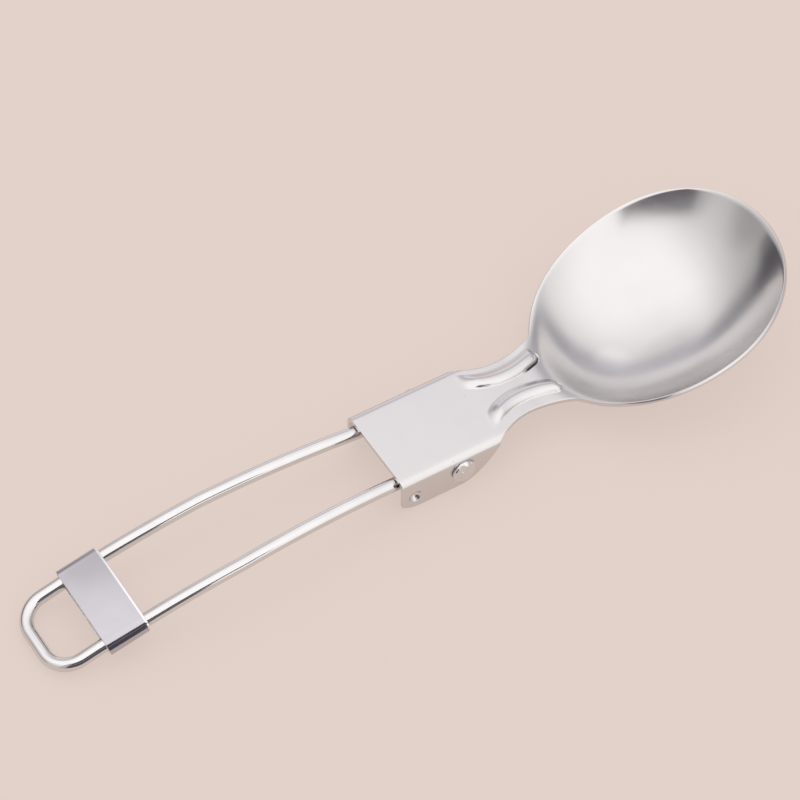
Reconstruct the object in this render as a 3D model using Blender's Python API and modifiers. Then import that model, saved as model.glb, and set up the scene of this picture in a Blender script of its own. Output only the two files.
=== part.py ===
"""Folding spoon: a stamped sheet head, a bent wire handle and a slide ring on the wires.

X runs from the handle's loop to the tip of the bowl, Y across, Z up from the table. Metres.
The origin is on the table under the middle of the open spoon.
"""

import math

import bmesh
import bpy
from mathutils import Matrix, Vector

# Stock
SHEET = 0.0008
WIRE_DIAMETER = 0.0026
RING_SHEET = 0.0005

# Lengths along the open spoon: loop end to housing, housing, neck, bowl
HANDLE_REACH = 0.0704
HOUSING_LENGTH = 0.0210
NECK_LENGTH = 0.0156
BOWL_LENGTH = 0.048

# Hinge housing: a flat top whose sides are folded down
HOUSING_WIDTH = 0.0190
HOUSING_PITCH = math.radians(2.8)
FLANGE_DEPTH = 0.00775
FLANGE_END_DROP = 0.0008
FOLD_RADIUS = 0.0018
REAR_CORNER_LENGTH = 0.0035
REAR_CORNER_RISE = 0.00125
FLANGE_SWEEP_LENGTH = 0.009

# Pivot holes and the pressed dimples that hold the wires up
PIVOT_FROM_REAR = 0.0128
PIVOT_BELOW_TOP = 0.0034
PIVOT_CLEARANCE = 0.0002
DIMPLE_FROM_REAR = 0.0027
DIMPLE_BELOW_TOP = 0.0048
DIMPLE_RADIUS = 0.0013
DIMPLE_HEIGHT = 0.00055

# Neck and its two pressed beads
WAIST_WIDTH = 0.0127
WAIST_FROM_HOUSING = 0.0083
NECK_REAR_FLARE = 0.00285
NECK_FRONT_FLARE = 0.0014
FLARE_OVERLAP = 0.0030
BEAD_WIDTH = 0.0027
BEAD_HEIGHT = 0.00095
BEAD_GROOVE_WIDTH = 0.0018
BEAD_GROOVE_DEPTH = 0.0007
BEAD_FROM_EDGE = 0.0036
BEAD_START_GAP = 0.0006
BEAD_OVERLAP = 0.0004
BEAD_END_RUN = 0.0016

# Bowl: egg outline, a rim that rises to the tip, and the hollow below it
BOWL_WIDTH = 0.0418
BOWL_REAR_LENGTH = 0.026
BOWL_DEPTH = 0.0106
RIM_DROP = 0.0003
RIM_PITCH = math.radians(13.7)
RIM_RADIUS = 0.66
RIM_BLEND = 0.0020
OUTLINE_POWER_SHARE = 2.08
HOLLOW_POWER_SHARE = 1.2
OUTLINE_FILLET_SHARE = 14.0
ENTRY_SOFTNESS_SHARE = 0.15
ENTRY_LENGTH = 0.009

# Wire handle
HINGE_WIRE_SPACING = 0.0126
WIDEST_WIRE_SPACING = 0.0158
LOOP_WIRE_SPACING = 0.0152
SPREAD_LENGTH = 0.045
CLOSING_FROM_END = 0.019
CLOSING_LENGTH = 0.012
LOOP_CORNER_RADIUS = 0.0050
PIN_BEND_RADIUS = 0.0020
TAIL_LENGTH = 0.0135
STOP_GAP = 0.0003
PEEN_DIAMETER = 0.0049
PEEN_LENGTH = 0.0012
PEEN_GAP = 0.0002
PEEN_SHARES = ((0.0, 0.55), (0.18, 0.84), (0.5, 0.99), (0.9, 1.0))

# Slide ring: a strip wrapped round both wires, with its seam below
RING_LENGTH = 0.0083
RING_FROM_LOOP = 0.0108
RING_CLEARANCE = 0.0002
RING_SEAM = 0.0005

# Mesh steps and overruns
CUT_OVERRUN = 0.0003
STEP_EDGE = 0.00003
WIRE_STEP = 0.003
NECK_STEP = 0.00062
WIRE_SIDES_RESOLUTION = 4
FLAT_STEPS = 13
FOLD_STEPS = 4
FLANGE_STEPS = 3
BOWL_STEPS = 22
CORNER_STEPS = 7
MERGE = 0.000001
HOUSING_STATION_SHARES = (0.0, 0.05, 0.12, 0.27, 0.43, 0.57, 0.67, 0.74, 0.80, 0.85, 0.895, 0.93, 0.96, 0.98)

# Places that follow from the sizes
TOTAL_LENGTH = HANDLE_REACH + HOUSING_LENGTH + NECK_LENGTH + BOWL_LENGTH
LOOP_X = -TOTAL_LENGTH / 2
HOUSING_X = LOOP_X + HANDLE_REACH
NECK_X = HOUSING_X + HOUSING_LENGTH
BOWL_X = NECK_X + NECK_LENGTH
TIP_X = BOWL_X + BOWL_LENGTH
WIDEST_X = BOWL_X + BOWL_REAR_LENGTH
WAIST_X = NECK_X + WAIST_FROM_HOUSING
PIVOT_X = HOUSING_X + PIVOT_FROM_REAR
DIMPLE_X = HOUSING_X + DIMPLE_FROM_REAR
FLAT_HALF = HOUSING_WIDTH / 2 - FOLD_RADIUS
INNER_FOLD_RADIUS = FOLD_RADIUS - SHEET
FOLD_ARC = INNER_FOLD_RADIUS * math.pi / 2
WIRE_RADIUS = WIRE_DIAMETER / 2


def clamp(value, low, high):
    """Value held between low and high."""
    return max(low, min(high, value))


def smooth_step(value):
    """0 below 0, 1 above 1, smooth between."""
    t = clamp(value, 0.0, 1.0)
    return t * t * (3 - 2 * t)


def housing_line(x):
    """Height of the housing's flat top, carried on along the neck, above the bowl's rear end."""
    return (BOWL_X - x) * math.tan(HOUSING_PITCH)


def rim_line(x):
    """Height of the bowl's rim above the housing's line at the bowl's rear end."""
    run = x - BOWL_X
    return -RIM_DROP + run * math.tan(RIM_PITCH) + run * run / (2 * RIM_RADIUS)


def sheet_line(x):
    """Height of the sheet before beads and hollow: housing line blended into the rim."""
    top = housing_line(x)
    rim = rim_line(x)
    share = clamp((1 + (top - rim) / RIM_BLEND) / 2, 0.0, 1.0)
    return top * share + rim * (1 - share) + RIM_BLEND * share * (1 - share)


def bowl_measure(x, y):
    """0 at the bowl's widest place, 1 on its egg outline."""
    length = BOWL_REAR_LENGTH if x < WIDEST_X else BOWL_LENGTH - BOWL_REAR_LENGTH
    along = abs(x - WIDEST_X) / length
    across = abs(y) / (BOWL_WIDTH / 2)
    return along ** OUTLINE_POWER_SHARE + across ** OUTLINE_POWER_SHARE


def egg_half_width(x):
    """Half width of the egg outline alone."""
    left = max(0.0, 1.0 - bowl_measure(x, 0.0))
    return BOWL_WIDTH / 2 * left ** (1 / OUTLINE_POWER_SHARE)


def neck_half_width(x):
    """Half width of the waisted neck alone."""
    if x < WAIST_X:
        return WAIST_WIDTH / 2 + NECK_REAR_FLARE * ((WAIST_X - x) / WAIST_FROM_HOUSING) ** 2
    return WAIST_WIDTH / 2 + NECK_FRONT_FLARE * ((x - WAIST_X) / (NECK_LENGTH - WAIST_FROM_HOUSING)) ** 2


def flat_outline(x):
    """Half width of the sheet in plan: the neck with a small fillet into the bowl."""
    egg = egg_half_width(x)
    if x >= WIDEST_X:
        return egg
    neck = neck_half_width(min(x, BOWL_X + FLARE_OVERLAP))
    power = OUTLINE_FILLET_SHARE
    return BOWL_WIDTH * ((egg / BOWL_WIDTH) ** power + (neck / BOWL_WIDTH) ** power) ** (1 / power)


def flange_drop(x):
    """Depth of the flange's lower edge below the housing's top."""
    rear = max(0.0, 1.0 - (x - HOUSING_X) / REAR_CORNER_LENGTH)
    sweep = clamp((x - (NECK_X - FLANGE_SWEEP_LENGTH)) / FLANGE_SWEEP_LENGTH, 0.0, 1.0)
    full = FLANGE_DEPTH - REAR_CORNER_RISE * rear ** 2
    return FLANGE_END_DROP + (full - FLANGE_END_DROP) * (1 - sweep ** 2)


def sheet_half_width(x):
    """Half width of the blank, measured along its inner side."""
    if x < NECK_X:
        drop = flange_drop(x)
        if drop >= FOLD_RADIUS:
            return FLAT_HALF + FOLD_ARC + drop - FOLD_RADIUS
        return FLAT_HALF + INNER_FOLD_RADIUS * math.acos(1 - drop / FOLD_RADIUS)
    plan = flat_outline(x)
    if x > WAIST_X or plan <= FLAT_HALF:
        return plan
    # The edge runs out of the fold here, so its plan is unrolled
    return FLAT_HALF + INNER_FOLD_RADIUS * math.asin(min((plan - FLAT_HALF) / FOLD_RADIUS, 1.0))


def bead_rise(x, y, width, height):
    """Rise of the pressed bead that follows each edge of the neck, for one side of the sheet."""
    start = NECK_X + BEAD_START_GAP + BEAD_END_RUN
    end = BOWL_X + BEAD_OVERLAP - BEAD_END_RUN
    past = max(start - x, 0.0, x - end)
    centre = neck_half_width(clamp(x, start, BOWL_X)) - BEAD_FROM_EDGE
    away = (y - centre) / (width / 2)
    return height * max(0.0, 1.0 - away ** 2 - (past / BEAD_END_RUN) ** 2)


def hollow_depth(x, y):
    """Depth of the bowl below the sheet line, with a soft entry from the neck."""
    inside = 1.0 - bowl_measure(x, y) ** HOLLOW_POWER_SHARE
    rise = smooth_step((x - NECK_X) / NECK_LENGTH)
    soft = ENTRY_SOFTNESS_SHARE * rise * smooth_step((BOWL_X + ENTRY_LENGTH - x) / ENTRY_LENGTH)
    return BOWL_DEPTH * (inside + math.hypot(inside, soft)) / 2


def table_drop():
    """How far the bowl's underside reaches below the bowl's rear end."""
    steps = 200
    lowest = 0.0
    for index in range(steps):
        x = BOWL_X + BOWL_LENGTH * index / steps
        lowest = min(lowest, sheet_line(x) - hollow_depth(x, 0.0))
    return -lowest


REST = table_drop()
HOUSING_TOP = REST + SHEET


def sheet_point(x, across):
    """Point of the sheet's plain under side; across is measured along the blank from the middle."""
    height = REST + sheet_line(x)
    if across <= FLAT_HALF or x > WAIST_X:
        return Vector((x, across, height - hollow_depth(x, across)))
    turn = min((across - FLAT_HALF) / INNER_FOLD_RADIUS, math.pi / 2)
    down = max(0.0, across - FLAT_HALF - FOLD_ARC)
    y = FLAT_HALF + INNER_FOLD_RADIUS * math.sin(turn)
    z = height - INNER_FOLD_RADIUS * (1 - math.cos(turn)) - down
    return Vector((x, y, z))


def skin_points(x, across):
    """Under side and top side of the sheet at one place, a sheet's thickness apart, with the beads."""
    step = STEP_EDGE
    under = sheet_point(x, across)
    along = sheet_point(x + step, across) - sheet_point(x - step, across)
    inward = under if across < step else sheet_point(x, across - step)
    outward = sheet_point(x, across + step) - inward
    top = under + along.cross(outward).normalized() * SHEET
    if across == 0.0:
        top.y = 0.0
    under.z += bead_rise(x, under.y, BEAD_GROOVE_WIDTH, BEAD_GROOVE_DEPTH)
    top.z += bead_rise(x, top.y, BEAD_WIDTH, BEAD_HEIGHT)
    return under, top


def column_places(x):
    """Places across the half blank at station x: flat part, fold and flange."""
    half = sheet_half_width(x)
    total = FLAT_STEPS + FOLD_STEPS + FLANGE_STEPS
    spread = smooth_step((x - NECK_X) / (WAIST_X - NECK_X))
    flange_margin = FOLD_RADIUS / 4
    fold_margin = FOLD_RADIUS / 4
    flat_end = min(FLAT_HALF, half - flange_margin - fold_margin)
    fold_end = min(FLAT_HALF + FOLD_ARC, half - flange_margin)
    flat_end += spread * (half * FLAT_STEPS / total - flat_end)
    fold_end += spread * (half * (FLAT_STEPS + FOLD_STEPS) / total - fold_end)
    places = [flat_end * k / FLAT_STEPS for k in range(FLAT_STEPS)]
    places += [flat_end + (fold_end - flat_end) * k / FOLD_STEPS for k in range(FOLD_STEPS)]
    places += [fold_end + (half - fold_end) * k / FLANGE_STEPS for k in range(FLANGE_STEPS + 1)]
    return places


def head_rows():
    """Rows of under and top points of half the head, from the housing's rear edge to the tip."""
    rows = []
    stations = [HOUSING_X + HOUSING_LENGTH * share for share in HOUSING_STATION_SHARES]
    turn_x = BOWL_X + ENTRY_LENGTH / 2
    count = round((turn_x - NECK_X) / NECK_STEP)
    stations += [NECK_X + (turn_x - NECK_X) * k / count for k in range(count + 1)]
    for x in stations:
        rows.append([skin_points(x, place) for place in column_places(x)])
    # Past here the rows bow towards the tip, so that the last one is the tip's own edge
    side_end = WIDEST_X + (TIP_X - WIDEST_X) * math.sin(math.pi / 4)
    for step in range(1, BOWL_STEPS + 1):
        share = step / BOWL_STEPS
        side_x = turn_x + (side_end - turn_x) * share
        places = column_places(side_x)
        bow = share ** 1.5
        row = []
        for place in places:
            tip_y = place / places[-1] * flat_outline(side_end)
            x = side_x + bow * (tip_edge(tip_y) - side_end)
            row.append(skin_points(x, place))
        rows.append(row)
    return rows


def tip_edge(y):
    """X of the bowl's front outline at y."""
    left = 1.0 - (y / (BOWL_WIDTH / 2)) ** OUTLINE_POWER_SHARE
    return WIDEST_X + (TIP_X - WIDEST_X) * left ** (1 / OUTLINE_POWER_SHARE)


def steel(name, colour, roughness):
    """Stainless steel with the given colour and roughness."""
    material = bpy.data.materials.new(name)
    material.use_nodes = True
    shader = material.node_tree.nodes["Principled BSDF"]
    shader.inputs["Base Color"].default_value = (*colour, 1.0)
    shader.inputs["Metallic"].default_value = 1.0
    shader.inputs["Roughness"].default_value = roughness
    return material


def add_object(name, data, collection, parent=None, location=(0.0, 0.0, 0.0)):
    """Link data as a named object, placed from its parent."""
    thing = bpy.data.objects.new(name, data)
    collection.objects.link(thing)
    thing.parent = parent
    thing.location = location
    return thing


def mesh_from(name, build):
    """Mesh made by a function that fills a bmesh."""
    work = bmesh.new()
    build(work)
    mesh = bpy.data.meshes.new(name)
    work.to_mesh(mesh)
    work.free()
    return mesh


def fill_half_head(work):
    """Loft half the head between its sections, open at the middle."""
    sections = []
    for row in head_rows():
        under = [work.verts.new(pair[0]) for pair in row]
        top = [work.verts.new(pair[1]) for pair in row]
        sections.append((under, top))
    for (under, top), (next_under, next_top) in zip(sections, sections[1:]):
        for k in range(len(under) - 1):
            work.faces.new((under[k + 1], next_under[k + 1], next_under[k], under[k]))
            work.faces.new((top[k], next_top[k], next_top[k + 1], top[k + 1]))
        work.faces.new((top[-1], next_top[-1], next_under[-1], under[-1]))
    for under, top in (sections[0], tuple(reversed(sections[-1]))):
        for k in range(len(under) - 1):
            work.faces.new((under[k], top[k], top[k + 1], under[k + 1]))


def add_cutter(name, build, location, collection):
    """Hidden shape for a Boolean."""
    cutter = add_object(name, mesh_from(name, build), collection, location=location)
    cutter.hide_render = True
    cutter.display_type = "WIRE"
    return cutter


def pivot_bore(work):
    """Round bar along Y through both flanges."""
    radius = WIRE_RADIUS + PIVOT_CLEARANCE
    length = HOUSING_WIDTH + 2 * CUT_OVERRUN
    bmesh.ops.create_cone(work, cap_ends=True, segments=24, radius1=radius, radius2=radius, depth=length)
    bmesh.ops.rotate(work, verts=work.verts, matrix=quarter_turn_x())


def quarter_turn_x():
    """Quarter turn about X, which lays a Z axis along Y."""
    return Matrix.Rotation(math.pi / 2, 3, "X")


def dome_builder(radius, height, side):
    """Builder of half an ellipsoid whose flat base faces outwards along Y on the given side."""
    def build(work):
        bmesh.ops.create_uvsphere(work, u_segments=16, v_segments=12, radius=radius)
        bmesh.ops.rotate(work, verts=work.verts, matrix=quarter_turn_x())
        bmesh.ops.scale(work, verts=work.verts, vec=(1.0, height / radius, 1.0))
        everything = work.verts[:] + work.edges[:] + work.faces[:]
        bmesh.ops.bisect_plane(work, geom=everything, plane_co=(0.0, 0.0, 0.0),
                               plane_no=(0.0, side, 0.0), clear_outer=True)
        bmesh.ops.holes_fill(work, edges=work.edges[:])
        bmesh.ops.recalc_face_normals(work, faces=work.faces[:])
    return build


def add_boolean(thing, cutter, operation):
    """Exact Boolean of the given kind."""
    modifier = thing.modifiers.new(cutter.name, "BOOLEAN")
    modifier.operation = operation
    modifier.object = cutter
    modifier.solver = "EXACT"


def make_head(parts, cutters):
    """One stamped sheet: bowl, beaded neck and hinge housing with pivot holes and dimples."""
    head = add_object("spoon_head", mesh_from("spoon_head", fill_half_head), parts)
    mirror = head.modifiers.new("other half", "MIRROR")
    mirror.use_axis = (False, True, False)
    mirror.merge_threshold = MERGE
    bore = add_cutter("pivot_bore", pivot_bore, (PIVOT_X, 0.0, pivot_height()), cutters)
    add_boolean(head, bore, "DIFFERENCE")
    dimple_z = HOUSING_TOP + sheet_line(DIMPLE_X) - DIMPLE_BELOW_TOP
    outer = HOUSING_WIDTH / 2
    for side in (-1.0, 1.0):
        label = "left" if side > 0 else "right"
        boss = dome_builder(DIMPLE_RADIUS + SHEET / 4, SHEET / 2 + DIMPLE_HEIGHT, side)
        boss_y = side * (outer - SHEET / 2)
        add_boolean(head, add_cutter("dimple_boss_" + label, boss, (DIMPLE_X, boss_y, dimple_z), cutters), "UNION")
        pit = dome_builder(DIMPLE_RADIUS, CUT_OVERRUN + DIMPLE_HEIGHT, side)
        pit_y = side * (outer + CUT_OVERRUN)
        add_boolean(head, add_cutter("dimple_pit_" + label, pit, (DIMPLE_X, pit_y, dimple_z), cutters), "DIFFERENCE")
    head.data.materials.append(steel("satin_stainless", (0.74, 0.73, 0.72), 0.32))
    head.data.shade_smooth()
    return head


def pivot_height():
    """Height of the hinge axis above the table."""
    return HOUSING_TOP + sheet_line(PIVOT_X) - PIVOT_BELOW_TOP


class SideCurve:
    """Side view of the wires' centre line: a straight tail from the hinge axis, then one arc to the loop."""

    def __init__(self):
        self.start = Vector((PIVOT_X, pivot_height()))
        stop = Vector((HOUSING_X, REST + sheet_line(HOUSING_X) - STOP_GAP - WIRE_RADIUS))
        self.tail = (stop - self.start).normalized()
        self.arc_start = self.start + self.tail * TAIL_LENGTH
        loop_end = Vector((LOOP_X + WIRE_RADIUS, WIRE_RADIUS))
        inward = Vector((self.tail.y, -self.tail.x))
        if inward.y > 0:
            inward = -inward
        chord = loop_end - self.arc_start
        self.radius = chord.length_squared / (2 * chord.dot(inward))
        self.centre = self.arc_start + inward * self.radius
        self.inward = inward
        self.length = TAIL_LENGTH + self.radius * 2 * math.asin(chord.length / (2 * self.radius))

    def at(self, distance):
        """X, Z and the rearward direction at a distance along the wire from the hinge axis."""
        if distance <= TAIL_LENGTH:
            return self.start + self.tail * distance, self.tail
        turn = (distance - TAIL_LENGTH) / self.radius
        place = self.centre - self.inward * self.radius * math.cos(turn) + self.tail * self.radius * math.sin(turn)
        return place, self.tail * math.cos(turn) + self.inward * math.sin(turn)


def wire_half_spacing(distance, length):
    """Half the distance between the wires' centre lines, which spread and close a little at the loop."""
    spread = clamp((distance - PIN_BEND_RADIUS) / (SPREAD_LENGTH - PIN_BEND_RADIUS), 0.0, 1.0)
    opened = HINGE_WIRE_SPACING + (WIDEST_WIRE_SPACING - HINGE_WIRE_SPACING) * spread
    closing = smooth_step((distance - length + CLOSING_FROM_END) / CLOSING_LENGTH)
    return (opened + (LOOP_WIRE_SPACING - opened) * closing) / 2


def half_wire_plan(length):
    """Distance along, place across and radius share of one wire, from its peened end to the loop's middle."""
    outer = HOUSING_WIDTH / 2 + PEEN_GAP
    peen_share = PEEN_DIAMETER / WIRE_DIAMETER
    plan = [(0.0, outer + PEEN_LENGTH * (1 - place), peen_share * size) for place, size in PEEN_SHARES]
    plan.append((0.0, outer, peen_share))
    plan.append((0.0, outer - STEP_EDGE, 1.0))
    bend_y = HINGE_WIRE_SPACING / 2 + PIN_BEND_RADIUS
    for k in range(CORNER_STEPS):
        turn = math.pi / 2 * k / (CORNER_STEPS - 1)
        plan.append((PIN_BEND_RADIUS * (1 - math.cos(turn)), bend_y - PIN_BEND_RADIUS * math.sin(turn), 1.0))
    corner = length - LOOP_CORNER_RADIUS
    count = round((corner - PIN_BEND_RADIUS) / WIRE_STEP)
    for k in range(1, count):
        distance = PIN_BEND_RADIUS + (corner - PIN_BEND_RADIUS) * k / count
        plan.append((distance, wire_half_spacing(distance, length), 1.0))
    centre_y = LOOP_WIRE_SPACING / 2 - LOOP_CORNER_RADIUS
    for k in range(CORNER_STEPS):
        turn = math.pi / 2 * k / (CORNER_STEPS - 1)
        distance = corner + LOOP_CORNER_RADIUS * math.sin(turn)
        plan.append((distance, centre_y + LOOP_CORNER_RADIUS * math.cos(turn), 1.0))
    return plan


def make_handle(parts, side_curve, hinge):
    """One wire bent into a long loop, its two ends turned out through the flanges and peened over."""
    half = half_wire_plan(side_curve.length)
    other = [(distance, -y, size) for distance, y, size in reversed(half)]
    curve = bpy.data.curves.new("wire_handle", "CURVE")
    curve.dimensions = "3D"
    curve.bevel_depth = WIRE_RADIUS
    curve.bevel_resolution = WIRE_SIDES_RESOLUTION
    curve.use_fill_caps = True
    spline = curve.splines.new("POLY")
    spline.points.add(len(half) + len(other) - 1)
    for point, (distance, y, size) in zip(spline.points, half + other):
        place, _ = side_curve.at(distance)
        point.co = (place.x - side_curve.start.x, y, place.y - side_curve.start.y, 1.0)
        point.radius = size
    handle = add_object("wire_handle", curve, parts, parent=hinge)
    curve.materials.append(steel("polished_wire", (0.80, 0.80, 0.80), 0.16))
    return handle


def ring_strip(half_width, half_height):
    """Builder of the ring's inner face: a flattened loop, open at the seam below."""
    path = [(RING_SEAM / 2, -half_height)]
    straight = half_width - half_height
    for k in range(CORNER_STEPS + 1):
        turn = math.pi * k / CORNER_STEPS
        path.append((straight + half_height * math.sin(turn), -half_height * math.cos(turn)))
    path += [(-y, z) for y, z in reversed(path)]

    def build(work):
        ends = [[work.verts.new((side * RING_LENGTH / 2, y, z)) for y, z in path] for side in (-1, 1)]
        for k in range(len(path) - 1):
            work.faces.new((ends[0][k], ends[0][k + 1], ends[1][k + 1], ends[1][k]))
    return build


def make_ring(parts, side_curve, handle):
    """Sheet strip wrapped round both wires; it slides along their arc."""
    distance = side_curve.length + WIRE_RADIUS - RING_FROM_LOOP - RING_LENGTH / 2
    place, rearward = side_curve.at(distance)
    half_width = WIDEST_WIRE_SPACING / 2 + WIRE_RADIUS + RING_CLEARANCE
    half_height = WIRE_RADIUS + RING_CLEARANCE
    centre = side_curve.centre
    axis_place = (centre.x - side_curve.start.x, 0.0, centre.y - side_curve.start.y)
    axis = add_object("ring_travel_axis", None, parts, parent=handle, location=axis_place)
    ring = add_object("slide_ring", mesh_from("slide_ring", ring_strip(half_width, half_height)), parts,
                      parent=axis, location=(place.x - centre.x, 0.0, place.y - centre.y))
    ring.rotation_euler = (0.0, math.atan2(rearward.y, -rearward.x), 0.0)
    solid = ring.modifiers.new("strip", "SOLIDIFY")
    solid.thickness = RING_SHEET
    solid.offset = 1.0
    ring.data.materials.append(steel("polished_strip", (0.76, 0.76, 0.78), 0.14))
    return ring


def main():
    """Build the spoon in a cleared file."""
    for thing in list(bpy.data.objects):
        bpy.data.objects.remove(thing, do_unlink=True)
    parts = bpy.data.collections.new("folding_spoon")
    cutters = bpy.data.collections.new("cutters")
    bpy.context.scene.collection.children.link(parts)
    bpy.context.scene.collection.children.link(cutters)
    side_curve = SideCurve()
    head = make_head(parts, cutters)
    hinge = add_object("hinge_axis", None, parts, parent=head, location=(PIVOT_X, 0.0, pivot_height()))
    handle = make_handle(parts, side_curve, hinge)
    make_ring(parts, side_curve, handle)
    print(f"total length {TOTAL_LENGTH:.4f}, housing top {HOUSING_TOP + sheet_line(HOUSING_X):.5f}")
    print(f"hinge axis x {PIVOT_X:.5f} z {pivot_height():.5f}")
    print(f"ring axis x {side_curve.centre.x:.5f} z {side_curve.centre.y:.5f} radius {side_curve.radius:.5f}")


main()
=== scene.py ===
"""Dresses the folding spoon: a satin stamped head, a bright bent wire and its slide ring.

The whole object is stainless steel, so what tells the pieces apart is how each was finished.
Lengths are in metres unless a name says otherwise. +X points to the bowl's tip and +Z is up.
"""

import logging
import math
from collections.abc import Sequence
from dataclasses import dataclass
from enum import Enum

import bmesh
import bpy
import numpy as np
from mathutils import Matrix, Vector


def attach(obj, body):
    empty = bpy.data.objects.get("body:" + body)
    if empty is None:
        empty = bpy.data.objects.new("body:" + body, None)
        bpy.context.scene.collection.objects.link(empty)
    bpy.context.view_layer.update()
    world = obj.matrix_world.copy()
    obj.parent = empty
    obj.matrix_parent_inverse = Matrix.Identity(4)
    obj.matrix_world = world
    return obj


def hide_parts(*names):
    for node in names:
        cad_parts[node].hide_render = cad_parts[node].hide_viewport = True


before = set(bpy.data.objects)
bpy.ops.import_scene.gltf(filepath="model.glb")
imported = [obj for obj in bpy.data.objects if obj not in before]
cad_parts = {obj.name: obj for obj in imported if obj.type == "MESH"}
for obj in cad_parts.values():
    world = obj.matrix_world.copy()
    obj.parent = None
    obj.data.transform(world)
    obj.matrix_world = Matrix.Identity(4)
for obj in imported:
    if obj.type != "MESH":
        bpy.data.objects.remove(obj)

Tree = bpy.types.NodeTree
Socket = bpy.types.NodeSocket
Colour = tuple[float, float, float, float]

LOG = logging.getLogger("folding_spoon")
MM = 0.001
UM = 0.000001
QUARTER = math.pi / 2
# A Mix node's colour sockets, by number because their names repeat
MIX_SHARE, MIX_BEFORE, MIX_AFTER, MIX_RESULT = 0, 6, 7, 2
# Nearly all that a noise node gives lies between these
NOISE_LOW, NOISE_HIGH = 0.3, 0.7
# How many finer layers of noise lie in the clouds of tone and in the waves of the surface
CLOUD_DETAIL, WAVE_DETAIL = 3.0, 1.0
# A pit's middle and its edge, in shares of the pits' spacing, and how strongly it shows
PIT_MIDDLE, PIT_EDGE, PIT_STRENGTH = 0.015, 0.035, 0.35
PIT_HEX = "#8F8B8A"


class Surface(Enum):
    """How a steel surface was finished, with the stretch of its marks along X, Y and Z."""

    TUMBLED = (1.0, 1.0, 1.0)
    DRAWN = (0.05, 1.0, 1.0)
    ROLLED = (1.0, 0.10, 1.0)


def linear_colour(srgb_hex: str) -> Colour:
    """Turn an sRGB hex colour into the linear colour that shaders take.

    Args:
        srgb_hex: Six hex digits with a leading hash.

    Returns:
        Linear red, green, blue and full alpha.
    """
    parts = [int(srgb_hex[k : k + 2], 16) / 255 for k in (1, 3, 5)]
    # The curve that the sRGB standard gives
    lin = [p / 12.92 if p <= 0.04045 else ((p + 0.055) / 1.055) ** 2.4 for p in parts]
    return (lin[0], lin[1], lin[2], 1.0)


def add_node(
    tree: Tree, kind: str, inputs: dict | None = None, **settings: object
) -> bpy.types.Node:
    """Add one node with its settings and inputs.

    Args:
        tree: Tree that takes the node.
        kind: Blender's name for the node's type.
        inputs: Input name or number to a value, or to the output socket that feeds it.
        **settings: Attributes to set on the node.

    Returns:
        The new node.
    """
    node = tree.nodes.new(kind)
    for name, value in settings.items():
        setattr(node, name, value)
    for key, value in (inputs or {}).items():
        if isinstance(value, Socket):
            tree.links.new(value, node.inputs[key])
        else:
            node.inputs[key].default_value = value
    return node


def bare_tree(owner: bpy.types.Material | bpy.types.World) -> Tree:
    """Switch on the nodes of a material or world and empty its tree.

    Args:
        owner: The material or world.

    Returns:
        Its tree.
    """
    owner.use_nodes = True
    owner.node_tree.nodes.clear()
    return owner.node_tree


def smooth_step(value: np.ndarray | float) -> np.ndarray:
    """Return 0 below 0, 1 above 1 and a smooth rise between."""
    t = np.clip(value, 0.0, 1.0)
    return t * t * (3 - 2 * t)


def compass(azimuth: float, elevation: float) -> Vector:
    """Return the unit direction at an azimuth from +X and an elevation, both in degrees."""
    a, e = math.radians(azimuth), math.radians(elevation)
    return Vector((math.cos(e) * math.cos(a), math.cos(e) * math.sin(a), math.sin(e)))


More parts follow.
